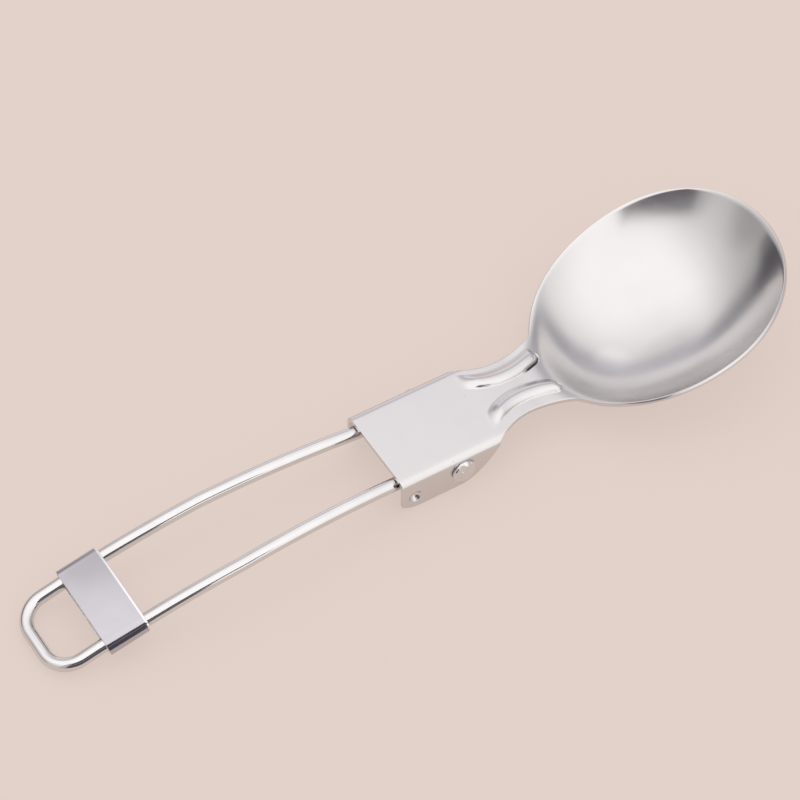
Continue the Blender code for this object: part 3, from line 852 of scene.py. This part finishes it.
@dataclass
class WireHandle:
    """One wire bent into a long loop, its ends turned out through the housing and peened."""

    head: SpoonHead
    diameter: float = 2.6 * MM
    hinge_spacing: float = 12.6 * MM
    widest_spacing: float = 15.8 * MM
    loop_spacing: float = 15.2 * MM
    spread_length: float = 45.0 * MM
    closing_from_end: float = 19.0 * MM
    closing_length: float = 12.0 * MM
    corner_radius: float = 5.0 * MM
    pin_bend: float = 2.0 * MM
    tail: float = 13.5 * MM
    stop_gap: float = 0.3 * MM
    peen_diameter: float = 4.9 * MM
    peen_length: float = 1.1 * MM
    far_peen_diameter: float = 4.0 * MM
    far_peen_length: float = 0.5 * MM
    peen_gap: float = 0.08 * MM
    # A peened end's section: the shares of its length that are wall and dome, and of its width
    # that its first row has, then height and width of its rounded foot
    peen_wall: float = 0.3
    peen_dome: float = 0.7
    peen_power: float = 0.7
    peen_middle: float = 0.04
    peen_foot: tuple[tuple[float, float], ...] = ((0.15, 0.99), (0.0, 0.93))
    peen_neck: float = 0.02 * MM
    hammer_from: float = 0.1
    hammer_level: float = 0.75
    hammer_size: float = 0.85 * MM
    hammer_depth: float = 0.5 * MM
    sides: int = 48
    peen_steps: int = 18
    bend_steps: int = 11
    corner_steps: int = 24
    step: float = 0.6 * MM
    finish: SteelFinish = DRAWN_WIRE

    def __post_init__(self) -> None:
        """Work out the wires' centre line as it is seen from the side."""
        head = self.head
        radius = self.diameter / 2
        hinge_height = head.top_height(head.pivot_x) - head.pivot_below_top
        self.start = Vector((head.pivot_x, hinge_height))
        under = head.top_height(head.housing_x) - head.sheet
        stop = Vector((head.housing_x, under - self.stop_gap - radius))
        self.along = (stop - self.start).normalized()
        arc_start = self.start + self.along * self.tail
        loop_end = Vector((head.housing_x - head.handle_reach + radius, radius))
        self.inward = Vector((self.along.y, -self.along.x))
        if self.inward.y > 0:
            self.inward = -self.inward
        chord = loop_end - arc_start
        self.radius = chord.length_squared / (2 * chord.dot(self.inward))
        self.centre = arc_start + self.inward * self.radius
        self.length = self.tail + self.radius * 2 * math.asin(chord.length / (2 * self.radius))

    def at(self, distance: float) -> tuple[Vector, Vector]:
        """Follow the centre line, seen from the side.

        Args:
            distance: How far along the wire from the hinge axis.

        Returns:
            The place there and the rearward direction.
        """
        if distance <= self.tail:
            return self.start + self.along * distance, self.along
        turn = (distance - self.tail) / self.radius
        out = -self.inward * math.cos(turn) + self.along * math.sin(turn)
        rearward = self.along * math.cos(turn) + self.inward * math.sin(turn)
        return self.centre + out * self.radius, rearward

    def half_spacing(self, distance: float) -> float:
        """Return half the distance between the wires, which spread and close at the loop.

        Args:
            distance: How far along the wire from the hinge axis.

        Returns:
            The half distance.
        """
        spread = min(1.0, (distance - self.pin_bend) / (self.spread_length - self.pin_bend))
        opened = self.hinge_spacing + (self.widest_spacing - self.hinge_spacing) * spread
        into_closing = distance - self.length + self.closing_from_end
        closing = float(smooth_step(into_closing / self.closing_length))
        return (opened + (self.loop_spacing - opened) * closing) / 2

    def peen(self, diameter: float, length: float) -> list[tuple[float, float, float]]:
        """Return the rows of one peened end, from its middle to the wire in the housing's hole.

        Args:
            diameter: Its width.
            length: How far it stands out.

        Returns:
            Distance along the wire, place across and thickness of each row.
        """
        outer = self.head.housing_width / 2 + self.peen_gap
        wide = diameter / self.diameter
        rows = []
        for k in range(self.peen_steps + 1):
            turn = QUARTER * k / self.peen_steps
            reach = self.peen_wall + self.peen_dome * math.cos(turn) ** self.peen_power
            share = self.peen_middle + (1 - self.peen_middle) * math.sin(turn)
            rows.append((0.0, outer + length * reach, wide * share))
        rows += [(0.0, outer + length * reach, wide * share) for reach, share in self.peen_foot]
        return [*rows, (0.0, outer - self.peen_neck, 1.0)]

    def wire_run(self) -> list[tuple[float, float, float]]:
        """Return the rows of one wire, from its bend to the loop.

        Returns:
            Distance along the wire, place across and thickness of each row.
        """
        rows = []
        bend_y = self.hinge_spacing / 2 + self.pin_bend
        for k in range(self.bend_steps + 1):
            turn = QUARTER * k / self.bend_steps
            distance = self.pin_bend * (1 - math.cos(turn))
            rows.append((distance, bend_y - self.pin_bend * math.sin(turn), 1.0))
        corner = self.length - self.corner_radius
        count = round((corner - self.pin_bend) / self.step)
        for k in range(1, count):
            distance = self.pin_bend + (corner - self.pin_bend) * k / count
            rows.append((distance, self.half_spacing(distance), 1.0))
        centre = self.loop_spacing / 2 - self.corner_radius
        for k in range(self.corner_steps + 1):
            turn = QUARTER * k / self.corner_steps
            distance = corner + self.corner_radius * math.sin(turn)
            rows.append((distance, centre + self.corner_radius * math.cos(turn), 1.0))
        return rows

    def sweep_tree(self, material: bpy.types.Material) -> Tree:
        """Build the tree that sweeps a round section along a line and hammers its ends.

        Args:
            material: Material of the wire.

        Returns:
            A geometry node tree with named inputs for the wire's and the hammer marks' sizes.
        """
        tree = bpy.data.node_groups.new("drawn_wire", "GeometryNodeTree")
        sockets = tree.interface
        sockets.new_socket("Line", in_out="INPUT", socket_type="NodeSocketGeometry")
        for name in ("Wire radius", "Peened from", "Hammer size", "Hammer level", "Hammer depth"):
            sockets.new_socket(name, in_out="INPUT", socket_type="NodeSocketFloat")
        sockets.new_socket("Sides", in_out="INPUT", socket_type="NodeSocketInt")
        sockets.new_socket("Wire", in_out="OUTPUT", socket_type="NodeSocketGeometry")
        given = add_node(tree, "NodeGroupInput").outputs
        line = add_node(tree, "GeometryNodeMeshToCurve", {"Mesh": given["Line"]})
        named = {"Name": "thickness"}
        thickness = add_node(tree, "GeometryNodeInputNamedAttribute", named, data_type="FLOAT")
        circle = {"Resolution": given["Sides"], "Radius": given["Wire radius"]}
        section = add_node(tree, "GeometryNodeCurvePrimitiveCircle", circle)
        sweep = {
            "Curve": line.outputs["Curve"],
            "Profile Curve": section.outputs["Curve"],
            "Scale": thickness.outputs["Attribute"],
            "Fill Caps": True,
        }
        swept = add_node(tree, "GeometryNodeCurveToMesh", sweep).outputs["Mesh"]
        # Hammer marks: each cell of the pattern is a shallow hollow, pressed towards the housing
        place = add_node(tree, "GeometryNodeInputPosition").outputs[0]
        y = add_node(tree, "ShaderNodeSeparateXYZ", {0: place}).outputs["Y"]
        reach = add_node(tree, "ShaderNodeMath", {0: y}, operation="ABSOLUTE").outputs[0]
        beyond = {0: reach, 1: given["Peened from"]}
        peened = add_node(tree, "FunctionNodeCompare", beyond, operation="GREATER_THAN").outputs[0]
        upon = {0: 1.0, 1: given["Hammer size"]}
        per_metre = add_node(tree, "ShaderNodeMath", upon, operation="DIVIDE").outputs[0]
        cells = add_node(tree, "ShaderNodeTexVoronoi", {"Vector": place, "Scale": per_metre})
        side = add_node(tree, "ShaderNodeMath", {0: y}, operation="SIGN").outputs[0]
        steps = (
            ("SUBTRACT", given["Hammer level"]),
            ("MULTIPLY", given["Hammer depth"]),
            ("MULTIPLY", side),
        )
        push = cells.outputs["Distance"]
        for operation, by in steps:
            both = {0: push, 1: by}
            push = add_node(tree, "ShaderNodeMath", both, operation=operation).outputs[0]
        offset = add_node(tree, "ShaderNodeCombineXYZ", {"Y": push}).outputs[0]
        wire = {"Geometry": swept, "Selection": peened, "Offset": offset}
        wire = {"Geometry": add_node(tree, "GeometryNodeSetPosition", wire).outputs[0]}
        wire = {"Geometry": add_node(tree, "GeometryNodeRealizeInstances", wire).outputs[0]}
        wire["Material"] = material
        dressed = add_node(tree, "GeometryNodeSetMaterial", wire)
        add_node(tree, "NodeGroupOutput", {"Wire": dressed.outputs["Geometry"]})
        return tree

    def build(self) -> bpy.types.Object:
        """Build the whole wire from its line of points.

        Returns:
            The finished wire.
        """
        far = self.peen(self.far_peen_diameter, self.far_peen_length) + self.wire_run()
        near = self.peen(self.peen_diameter, self.peen_length) + self.wire_run()
        rows = far + [(d, -y, size) for d, y, size in reversed(near[:-1])]
        places = [self.at(distance)[0] for distance, _, _ in rows]
        points = np.array([(place.x, y, place.y) for place, (_, y, _) in zip(places, rows)])
        links = [(k, k + 1) for k in range(len(rows) - 1)]
        wire = mesh_object("bent_wire", points, [], links)
        mark_points(wire, "thickness", [size for _, _, size in rows])
        material = self.finish.build()
        tree = self.sweep_tree(material)
        modifier = wire.modifiers.new("sweep", "NODES")
        modifier.node_group = tree
        peen_start = self.head.housing_width / 2 + self.peen_gap
        sizes = {
            "Wire radius": self.diameter / 2,
            "Peened from": peen_start + self.peen_length * self.hammer_from,
            "Hammer size": self.hammer_size,
            "Hammer level": self.hammer_level,
            "Hammer depth": self.hammer_depth,
            "Sides": self.sides,
        }
        for item in tree.interface.items_tree:
            if item.name in sizes:
                modifier[item.identifier] = sizes[item.name]
        return settle(wire, material)


@dataclass
class SlideRing:
    """Bright strip wrapped round both wires, with its seam below."""

    handle: WireHandle
    length: float = 8.3 * MM
    from_loop: float = 10.8 * MM
    sheet: float = 0.5 * MM
    clearance: float = 0.2 * MM
    seam: float = 0.5 * MM
    crown: float = 0.42 * MM
    rollover_drop: float = 0.06 * MM
    rollover_width: float = 0.24 * MM
    edge_round: float = 0.12 * MM
    # A face is part of a cut end when this much of its normal points along the ring
    cut_facing: float = 0.6
    crease_angle: float = math.radians(40.0)
    edge_segments: int = 4
    side_steps: int = 40
    top_steps: int = 16
    finish: SteelFinish = ROLLED_STRIP

    def path(self) -> np.ndarray:
        """Return the inner face across the ring, with a slightly crowned top.

        Returns:
            Places across and heights, from seam to seam.
        """
        low = self.handle.diameter / 2 + self.clearance
        flat = self.handle.widest_spacing / 2
        rows = [(self.seam / 2, -low)]
        for k in range(self.side_steps + 1):
            turn = math.pi * k / self.side_steps
            rows.append((flat + low * math.sin(turn), -low * math.cos(turn)))
        for k in range(1, self.top_steps + 1):
            y = flat * (1 - k / self.top_steps)
            rows.append((y, low + self.crown * (1 - (y / flat) ** 2)))
        return np.array(rows + [(-y, z) for y, z in reversed(rows[:-1])])

    def section(self) -> list[tuple[float, float, float]]:
        """Return the strip's section with rounded corners.

        Returns:
            Place along the ring, height above its inner face and 1 on a cut edge.
        """
        size = self.edge_round
        rows = []
        # End, outer or inner face, and the angle that each corner starts at
        for side, top, start in ((1, 0, -90), (1, 1, 0), (-1, 1, 90), (-1, 0, 180)):
            x = side * (self.length / 2 - size)
            # Shearing drew the strip's edge towards the housing down a little
            drop = self.rollover_drop if side > 0 else 0.0
            # The band of the outer face just behind the sheared end is painted near white too,
            # then fades
            if side < 0 and top:
                start_x = self.length / 2 - size - self.rollover_width
                fade_x = start_x - self.rollover_width / 3
                rows += [(start_x, self.sheet, 1.0), (fade_x, self.sheet, 0.0)]
            z = self.sheet - drop - size if top else size
            for k in range(self.edge_segments + 1):
                turn = math.radians(start + 90 * k / self.edge_segments)
                # Faces of a cut end get the near-white mark: bare sheared metal with a painted
                # highlight
                cut = 1.0 if side > 0 or abs(math.cos(turn)) > self.cut_facing else 0.0
                rows.append((x + size * math.cos(turn), z + size * math.sin(turn), cut))
        return rows

    def build(self) -> bpy.types.Object:
        """Build the ring in its place near the loop.

        Returns:
            The finished ring.
        """
        loop_end = self.handle.length + self.handle.diameter / 2
        place, rearward = self.handle.at(loop_end - self.from_loop - self.length / 2)
        path = self.path()
        section = self.section()
        ahead = np.gradient(path, axis=0)
        ahead /= np.linalg.norm(ahead, axis=1, keepdims=True)
        outward = np.stack([ahead[:, 1], -ahead[:, 0]], axis=1)
        count = len(section)
        points = []
        for at, out in zip(path, outward):
            points += [(x, at[0] + out[0] * rise, at[1] + out[1] * rise) for x, rise, _ in section]
        faces: list[tuple[int, ...]] = []
        for k in range(len(path) - 1):
            for j in range(count):
                a, b = k * count + j, k * count + (j + 1) % count
                faces.append((a, a + count, b + count, b))
        faces.append(tuple(range(count)))
        faces.append(tuple(reversed(range((len(path) - 1) * count, len(path) * count))))
        ring = mesh_object("wrapped_strip", np.array(points), faces)
        turn = Matrix.Rotation(math.atan2(rearward.y, -rearward.x), 4, "Y")
        ring.data.transform(Matrix.Translation((place.x, 0.0, place.y)) @ turn)
        work = bmesh.new()
        work.from_mesh(ring.data)
        bmesh.ops.recalc_face_normals(work, faces=work.faces)
        work.to_mesh(ring.data)
        work.free()
        ring.data.set_sharp_from_angle(angle=self.crease_angle)
        inner = [1.0 if rise < self.edge_round / 2 else 0.0 for _, rise, _ in section]
        # Where the cut edges are painted near white, as a painted highlight on bare sheared metal
        mark_points(ring, "sheared_and_glint", [cut for _, _, cut in section] * len(path))
        mark_points(ring, "inside", inner * len(path))
        ring.data.materials.append(self.finish.build())
        return ring


@dataclass(frozen=True)
class SoftEdge:
    """A soft great circle across the studio; its mask is full on the side that it faces."""

    azimuth: float
    elevation: float
    start: float
    full: float

    def mask(self, tree: Tree, towards: Socket, interpolation: str = "SMOOTHSTEP") -> Socket:
        """Add the mask to a tree.

        Args:
            tree: The world's tree.
            towards: Direction that is looked at.
            interpolation: Blender's name for how the mask rises.

        Returns:
            The mask's value, from 0 to 1.
        """
        both = {0: towards, 1: compass(self.azimuth, self.elevation)}
        facing = add_node(tree, "ShaderNodeVectorMath", both, operation="DOT_PRODUCT")
        ramp = {
            "Value": facing.outputs["Value"],
            "From Min": self.start,
            "From Max": self.full,
        }
        rise = add_node(tree, "ShaderNodeMapRange", ramp, interpolation_type=interpolation)
        return rise.outputs["Result"]


@dataclass(frozen=True)
class SoftPanel:
    """A round, soft-edged panel of the studio that dims or lifts what is behind it.

    It reaches so many degrees from its middle and has its full level within a smaller angle.
    """

    azimuth: float
    elevation: float
    reach: float
    full: float
    level: float

    def factor(self, tree: Tree, towards: Socket) -> Socket:
        """Add the panel to a tree.

        Args:
            tree: The world's tree.
            towards: Direction that is looked at.

        Returns:
            What it multiplies the studio's level by.
        """
        start, full = math.cos(math.radians(self.reach)), math.cos(math.radians(self.full))
        mask = SoftEdge(self.azimuth, self.elevation, start, full).mask(tree, towards)
        dim = {"Value": mask, "To Min": 1.0, "To Max": self.level}
        return add_node(tree, "ShaderNodeMapRange", dim).outputs["Result"]


@dataclass(frozen=True)
class DarkCard:
    """A dark card or cloth beside the object, seen only in bright metal.

    Two corners and a height stand it up; more corners lay it down.
    """

    name: str
    corners: tuple[tuple[float, float], ...]
    low: float
    height: float
    level: float = 0.115
    tint: str = "#F2ECFF"

    def build(self) -> None:
        """Build the card, hidden from the camera, the floor and the soft light."""
        points = [(x, y, self.low) for x, y in self.corners]
        if self.height:
            points += [(x, y, self.low + self.height) for x, y in reversed(self.corners)]
        card = mesh_object(self.name, np.array(points), [tuple(range(len(points)))])
        material = bpy.data.materials.new(self.name)
        tree = bare_tree(material)
        light = {"Color": linear_colour(self.tint), "Strength": self.level}
        glow = add_node(tree, "ShaderNodeEmission", light)
        add_node(tree, "ShaderNodeOutputMaterial", {"Surface": glow.outputs[0]})
        card.data.materials.append(material)
        card.visible_camera = False
        card.visible_diffuse = False
        card.visible_shadow = False
        card.visible_transmission = False


# Where the card on the handle's side stands, and how high a cloth lies above the floor
SIDE = ((-0.150, -0.070), (-0.018, -0.181))
CLOTH = 0.0004


@dataclass
class Studio:
    """Plain pale floor, soft light and the camera."""

    floor_hex: str = "#E7D6CE"
    floor_plain: float = 0.7
    background_hex: str = "#EDE8E4"
    view_azimuth: float = -122.0
    view_elevation: float = 52.86
    view_distance: float = 0.66057
    view_target: tuple[float, float, float] = (0.006105, 0.012631, 0.0)
    lens: float = 162.0
    sensor: float = 36.0
    near_clip: float = 0.01
    floor_size: float = 6.0
    ambient: float = 1.0
    lamp_size: float = 0.9
    lamp_power: float = 1.2
    lamp_place: tuple[float, float, float] = (0.35, 0.45, 1.1)
    # The studio's colour by how far one looks the wall's way, from -1 behind to 1 at the wall
    wall: SoftEdge = SoftEdge(-135.0, 45.0, -1.0, 1.0)
    wall_stops: tuple[tuple[float, tuple[float, float, float]], ...] = (
        (-0.55, (0.77, 0.74, 0.79)),
        (-0.30, (0.71, 0.68, 0.73)),
        (-0.10, (0.61, 0.60, 0.65)),
        (0.00, (0.68, 0.665, 0.70)),
        (0.08, (0.86, 0.84, 0.86)),
        (0.17, (1.01, 0.985, 0.99)),
        (0.34, (1.13, 1.10, 1.11)),
        (0.50, (1.23, 1.20, 1.21)),
        (0.66, (1.31, 1.28, 1.29)),
    )
    brightest: float = 1.35
    dusk: SoftEdge = SoftEdge(-9.5, 52.2, -0.45, 0.35)
    dusk_level: float = 0.52
    panels: tuple[SoftPanel, ...] = (
        SoftPanel(5.0, 12.0, 33.0, 12.0, 0.74),
        SoftPanel(106.0, 2.0, 30.0, 10.0, 0.70),
        SoftPanel(160.0, 8.0, 16.0, 6.0, 0.72),
        SoftPanel(38.0, 32.0, 18.0, 7.0, 0.88),
        SoftPanel(50.0, 45.0, 15.0, 6.5, 1.28),
        SoftPanel(72.0, 10.0, 18.0, 8.0, 1.25),
        SoftPanel(92.0, 46.0, 15.0, 4.0, 0.84),
    )
    cards: tuple[DarkCard, ...] = (
        DarkCard("side_card", SIDE, 0.0, 0.050, 0.10),
        DarkCard("side_streak", SIDE, 0.050, 0.014, 0.32),
        DarkCard("side_card_top", SIDE, 0.064, 0.067, 0.10),
        DarkCard("side_wing", (SIDE[1], (0.026, -0.188)), 0.070, 0.055),
        DarkCard("side_end", ((-0.162, -0.040), SIDE[0]), 0.0, 0.131, 0.55, "#FFFFFF"),
        DarkCard(
            "side_cloth",
            (SIDE[0], (-0.050, -0.150), (-0.0565, -0.0222), (-0.110, -0.0222)),
            CLOTH,
            0.0,
        ),
        DarkCard(
            "far_cloth",
            ((0.008, 0.076), (0.032, 0.090), (-0.230, 0.600), (-0.520, 0.430)),
            CLOTH,
            0.0,
        ),
        DarkCard("far_card", ((-0.520, 0.430), (-0.230, 0.600)), 0.0, 0.105, 0.09),
    )

    def build(self) -> None:
        """Build floor, cards, world, lamp and camera."""
        self._floor()
        for card in self.cards:
            card.build()
        self._world()
        self._lamp()
        self._camera()

    def _floor(self) -> None:
        """Lay a plain floor that shows its own colour, with a faint shadow under the object."""
        half = self.floor_size / 2
        signs = ((-1, -1), (1, -1), (1, 1), (-1, 1))
        corners = np.array([(half * x, half * y, 0.0) for x, y in signs])
        floor = mesh_object("floor", corners, [(0, 1, 2, 3)])
        material = bpy.data.materials.new("matt_floor")
        tree = bare_tree(material)
        colour = linear_colour(self.floor_hex)
        matt = add_node(tree, "ShaderNodeBsdfDiffuse", {"Color": colour})
        plain = add_node(tree, "ShaderNodeEmission", {"Color": colour, "Strength": 1.0})
        ray = add_node(tree, "ShaderNodeLightPath").outputs
        either = {0: ray["Is Camera Ray"], 1: ray["Is Glossy Ray"]}
        seen = add_node(tree, "ShaderNodeMath", either, operation="MAXIMUM").outputs[0]
        part = {0: seen, 1: self.floor_plain}
        share = add_node(tree, "ShaderNodeMath", part, operation="MULTIPLY").outputs[0]
        both = {0: share, 1: matt.outputs[0], 2: plain.outputs[0]}
        shown = add_node(tree, "ShaderNodeMixShader", both)
        add_node(tree, "ShaderNodeOutputMaterial", {"Surface": shown.outputs[0]})
        floor.data.materials.append(material)

    def _studio_level(self, tree: Tree, towards: Socket) -> tuple[Socket, Socket]:
        """Add what bright metal shows: a bright ceiling, a grey far wall and a dusky left side.

        Args:
            tree: The world's tree.
            towards: Direction that is looked at.

        Returns:
            The colour and its strength.
        """
        facing = self.wall.mask(tree, towards, "LINEAR")
        ramp = add_node(tree, "ShaderNodeValToRGB", {0: facing})
        ramp.color_ramp.interpolation = "LINEAR"
        elements = ramp.color_ramp.elements
        # New stops start half way up and get their own places below
        while len(elements) < len(self.wall_stops):
            elements.new(0.5)
        for element, (place, colour) in zip(elements, self.wall_stops):
            element.position = (place + 1) / 2
            element.color = (*(c / self.brightest for c in colour), 1.0)
        dim = {
            "Value": self.dusk.mask(tree, towards),
            "To Min": self.dusk_level * self.brightest,
            "To Max": self.brightest,
        }
        level = add_node(tree, "ShaderNodeMapRange", dim).outputs["Result"]
        for panel in self.panels:
            both = {0: level, 1: panel.factor(tree, towards)}
            level = add_node(tree, "ShaderNodeMath", both, operation="MULTIPLY").outputs[0]
        return ramp.outputs["Color"], level

    def _world(self) -> None:
        """Light the scene evenly and give bright metal a soft studio to show."""
        world = bpy.data.worlds.new("soft_studio")
        bpy.context.scene.world = world
        tree = bare_tree(world)
        towards = add_node(tree, "ShaderNodeTexCoord").outputs["Generated"]
        colour, strength = self._studio_level(tree, towards)
        even = {"Strength": self.ambient}
        shown = add_node(tree, "ShaderNodeBackground", even).outputs[0]
        ray = add_node(tree, "ShaderNodeLightPath").outputs
        lights = {
            "Is Glossy Ray": {"Color": colour, "Strength": strength},
            "Is Camera Ray": {"Color": linear_colour(self.background_hex), "Strength": 1.0},
        }
        for kind, light in lights.items():
            instead = add_node(tree, "ShaderNodeBackground", light).outputs[0]
            both = {0: ray[kind], 1: shown, 2: instead}
            shown = add_node(tree, "ShaderNodeMixShader", both).outputs[0]
        add_node(tree, "ShaderNodeOutputWorld", {"Surface": shown})

    def _lamp(self) -> None:
        """Hang one large, weak lamp over the far side for a soft shadow."""
        lamp = bpy.data.lights.new("overhead", "AREA")
        lamp.shape = "SQUARE"
        lamp.size = self.lamp_size
        lamp.energy = self.lamp_power
        thing = add_object("overhead", lamp)
        thing.location = self.lamp_place
        thing.rotation_euler = Vector(self.lamp_place).to_track_quat("Z", "Y").to_euler()
        thing.visible_glossy = False

    def _camera(self) -> None:
        """Place the camera at the photograph's angle."""
        back = compass(self.view_azimuth, self.view_elevation)
        data = bpy.data.cameras.new("camera")
        data.lens = self.lens
        data.sensor_width = self.sensor
        data.clip_start = self.near_clip
        camera = add_object("camera", data)
        camera.location = Vector(self.view_target) + back * self.view_distance
        camera.rotation_euler = back.to_track_quat("Z", "Y").to_euler()
        bpy.context.scene.camera = camera


def place_piece(piece: bpy.types.Object, body: str, node: str) -> None:
    """Let a finished piece ride on its body in place of a CAD node.

    Args:
        piece: The finished piece.
        body: Body that carries it.
        node: CAD node that it stands for.
    """
    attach(piece, body)
    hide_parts(node)
    count = len(piece.data.polygons)
    LOG.info("%s rides on %s and stands for %s: %d faces", piece.name, body, node, count)


def main() -> None:
    """Build the dressed spoon and its studio."""
    logging.basicConfig(level=logging.INFO, format="%(message)s")
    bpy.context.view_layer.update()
    bpy.context.scene.view_settings.view_transform = "Standard"
    head = SpoonHead()
    handle = WireHandle(head)
    ring = SlideRing(handle)
    place_piece(head.build(), "head", "spoon_head")
    place_piece(handle.build(), "handle", "wire_handle")
    place_piece(ring.build(), "ring", "slide_ring")
    Studio().build()


if __name__ == "__main__":
    main()
